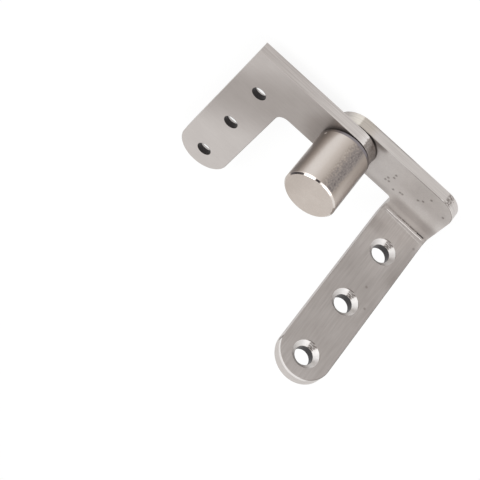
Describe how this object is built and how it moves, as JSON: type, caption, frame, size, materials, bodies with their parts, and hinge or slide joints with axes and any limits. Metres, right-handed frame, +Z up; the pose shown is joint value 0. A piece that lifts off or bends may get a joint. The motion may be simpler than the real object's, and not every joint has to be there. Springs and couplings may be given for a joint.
{
  "type": "pivot hinge",
  "caption": "Steel pivot hinge for the foot of a door: an L-shaped flat leaf with a round barrel turns on a second, bent leaf whose tongue screws to the frame.",
  "frame": {"origin": "on the pivot axis, in the flat outer face of the frame leaf's arm", "axes": "+Z up the pivot axis through the barrel, +X along the frame leaf's arm, -Y towards the side that both leaves reach to; the door leaf's arm lies along -X when the door is shut"},
  "size_m": [0.0922, 0.08, 0.0845],
  "materials": {
    "leaf_steel": "stainless plate, finely brushed, edges as cut and deburred",
    "turned_steel": "stainless bar, turned and lightly polished",
    "pin_steel": "turned stainless pin, riveted end ground flush",
    "washer_steel": "thin plain steel shim",
    "spring_steel": "dark phosphated spring steel",
    "race_steel": "ground bearing steel",
    "ball_steel": "polished bearing balls",
    "cage_steel": "plain pressed steel",
    "shield_steel": "thin pressed steel"
  },
  "bodies": {
    "frame_side": {"frame_leaf": "leaf_steel", "pivot_pin": "pin_steel", "thrust_washer": "washer_steel", "lower_inner_race": "race_steel", "bearing_spacer": "pin_steel", "upper_inner_race": "race_steel", "retaining_ring": "spring_steel"},
    "door_side": {"door_leaf": "leaf_steel", "barrel": "turned_steel", "lower_outer_race": "race_steel", "upper_outer_race": "race_steel", "lower_bottom_shield": "shield_steel", "lower_top_shield": "shield_steel", "upper_bottom_shield": "shield_steel", "upper_top_shield": "shield_steel"},
    "lower_ball_ring": {"lower_balls": "ball_steel", "lower_ball_cage": "cage_steel"},
    "upper_ball_ring": {"upper_balls": "ball_steel", "upper_ball_cage": "cage_steel"}
  },
  "joints": [
    {"name": "door_swing", "type": "hinge", "parent": "frame_side", "child": "door_side", "pos_m": [0, 0, 0], "axis": [0, 0, 1], "range_deg": [-185, 95]},
    {"name": "lower_ball_roll", "type": "hinge", "parent": "frame_side", "child": "lower_ball_ring", "pos_m": [0, 0, 0.0119], "axis": [0, 0, 1], "range_deg": [-112, 58]},
    {"name": "upper_ball_roll", "type": "hinge", "parent": "frame_side", "child": "upper_ball_ring", "pos_m": [0, 0, 0.0239], "axis": [0, 0, 1], "range_deg": [-112, 58]}
  ],
  "couplings": [
    {"joint": "lower_ball_roll", "follows": "door_swing", "ratio": 0.6},
    {"joint": "upper_ball_roll", "follows": "door_swing", "ratio": 0.6}
  ]
}
